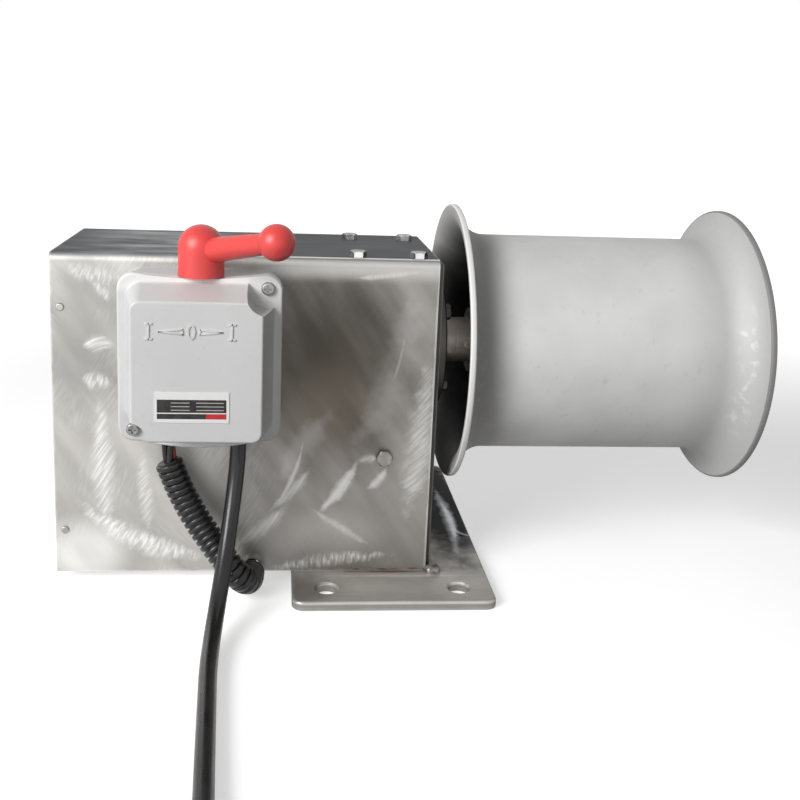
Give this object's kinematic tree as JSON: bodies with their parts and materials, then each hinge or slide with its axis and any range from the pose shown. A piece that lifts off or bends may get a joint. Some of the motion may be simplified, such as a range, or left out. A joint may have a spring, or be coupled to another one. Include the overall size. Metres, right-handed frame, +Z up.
{
  "type": "electric anchor winch",
  "caption": "Electric anchor winch: box casing on a bolt-down plate, flared rope drum on a side shaft, reversing switch with a ball handle, and a mains lead.",
  "frame": {"origin": "middle of the base plate's underside, which is the middle of its four bolt holes", "axes": "+X along the drum's shaft away from the casing, -Y towards the switch, +Z up"},
  "size_m": [0.4635, 0.609, 0.2531],
  "materials": {
    "stainless_sheet": "swirl-ground stainless sheet",
    "ground_plate": "ground stainless plate with worn edges",
    "weld": "dull weld metal",
    "bright_bolts": "bright zinc-plated or stainless fasteners",
    "black_rubber": "black rubber sheath",
    "cast_aluminium": "as-cast aluminium",
    "steel": "machined steel",
    "bronze": "sintered bronze",
    "laminations": "stacked sheet steel",
    "copper": "bare copper and brass",
    "blasted_steel": "matt sand-blasted steel",
    "switch_grey": "light grey paint on a casting",
    "red_plastic": "gloss red moulding",
    "black_plastic": "black moulding",
    "label": "printed plate left blank",
    "red_wire": "insulated wires"
  },
  "bodies": {
    "winch": {"casing_wrap": "stainless_sheet", "casing_left_end": "stainless_sheet", "casing_bottom": "stainless_sheet", "base_plate": "ground_plate", "casing_right_end": "ground_plate", "bearing_flange": "ground_plate", "weld_beads": "weld", "lid_bolts": "bright_bolts", "side_bolts": "bright_bolts", "end_rivets": "bright_bolts", "flange_bolts": "bright_bolts", "cover_screws": "bright_bolts", "switch_screws": "bright_bolts", "shaft_seal": "black_rubber", "cable_bush": "black_rubber", "power_cable": "black_rubber", "cable_coil": "black_rubber", "gear_case": "cast_aluminium", "partition_plate": "cast_aluminium", "motor_flange": "cast_aluminium", "motor_housing": "cast_aluminium", "motor_end_bell": "cast_aluminium", "gear_case_screws": "steel", "main_bearing_outer": "steel", "motor_bearing_outers": "steel", "motor_tie_bolts": "steel", "capacitor_clamp": "steel", "gear_case_bushes": "bronze", "stator_core": "laminations", "stator_windings": "copper", "fixed_contacts": "copper", "plug_pins": "copper", "switch_base": "switch_grey", "switch_cover": "switch_grey", "conduit": "black_plastic", "coil_tie": "black_plastic", "plug_body": "black_plastic", "capacitor": "black_plastic", "rating_plate": "label", "wire_bundle": "red_wire"},
    "drum": {"main_shaft": "steel", "main_bearing_inner": "steel", "output_gear": "steel", "output_key": "steel", "drum_shell": "blasted_steel", "drum_webs": "blasted_steel", "drum_hub": "steel", "drum_key": "steel", "shaft_pin": "steel", "drum_end_washer": "bright_bolts", "drum_end_bolt": "bright_bolts"},
    "layshaft": {"layshaft": "steel", "layshaft_wheel": "steel"},
    "rotor": {"rotor_shaft": "steel", "rotor_core": "laminations", "motor_pinion": "steel", "motor_bearing_inners": "steel"},
    "handle": {"switch_handle": "red_plastic", "contact_drum": "black_plastic", "moving_contacts": "copper"}
  },
  "joints": [
    {"name": "drum_spin", "type": "hinge", "parent": "winch", "child": "drum", "pos_m": [0, -0.019, 0.1555], "axis": [1, 0, 0], "continuous": true},
    {"name": "layshaft_spin", "type": "hinge", "parent": "winch", "child": "layshaft", "pos_m": [0, -0.019, 0.0985], "axis": [1, 0, 0], "continuous": true},
    {"name": "rotor_spin", "type": "hinge", "parent": "winch", "child": "rotor", "pos_m": [0, -0.019, 0.1555], "axis": [1, 0, 0], "continuous": true},
    {"name": "handle_turn", "type": "hinge", "parent": "winch", "child": "handle", "pos_m": [-0.126, -0.111, 0.215], "axis": [0, 0, 1], "range_deg": [-90, 0]}
  ],
  "couplings": [
    {"joint": "layshaft_spin", "follows": "drum_spin", "ratio": -3.75},
    {"joint": "rotor_spin", "follows": "drum_spin", "ratio": 14.062}
  ]
}
